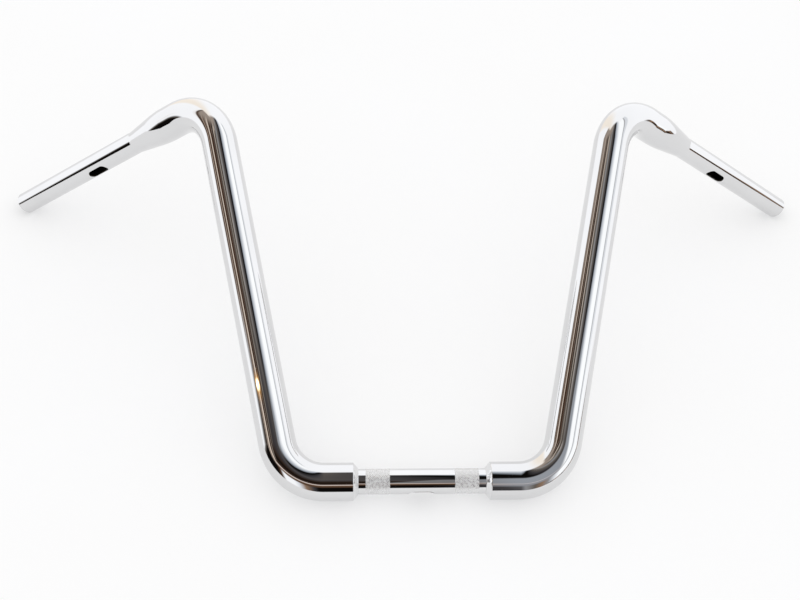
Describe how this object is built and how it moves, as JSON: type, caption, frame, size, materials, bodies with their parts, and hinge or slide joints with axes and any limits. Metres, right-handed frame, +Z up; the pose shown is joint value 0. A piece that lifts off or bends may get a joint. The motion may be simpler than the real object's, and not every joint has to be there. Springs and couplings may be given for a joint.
{
  "type": "motorcycle handlebar",
  "caption": "Tall chromed motorcycle handlebar of stepped, welded tube, with knurled thin clamping section, fat bent uprights, tapered joints and pulled-back thin grip ends with wiring slots.",
  "frame": {"origin": "middle of the clamping tube's axis", "axes": "+X along the clamping tube, towards the right grip as seen from the front; +Z up, with the bar lying on its back on the two ends of its fat tubes and its two bar ends; +Y from the clamping tube towards the grips"},
  "size_m": [0.9518, 0.4222, 0.2018],
  "materials": {
    "chrome": "mirror-polished chrome plate",
    "clamp_chrome": "chrome plate over a diamond knurl at the two clamp bands, polished between them",
    "weld_chrome": "chrome plate over dressed weld beads",
    "bare_steel": "bare machined steel inside the tube"
  },
  "bodies": {
    "root": {"centre_clamping_tube": "clamp_chrome", "left_step_bush": "bare_steel", "left_step_weld": "weld_chrome", "left_riser_tube": "chrome", "left_taper_weld": "weld_chrome", "left_taper_collar": "chrome", "left_grip_weld": "weld_chrome", "left_grip_tube": "chrome", "right_step_bush": "bare_steel", "right_step_weld": "weld_chrome", "right_riser_tube": "chrome", "right_taper_weld": "weld_chrome", "right_taper_collar": "chrome", "right_grip_weld": "weld_chrome", "right_grip_tube": "chrome"}
  },
  "joints": []
}
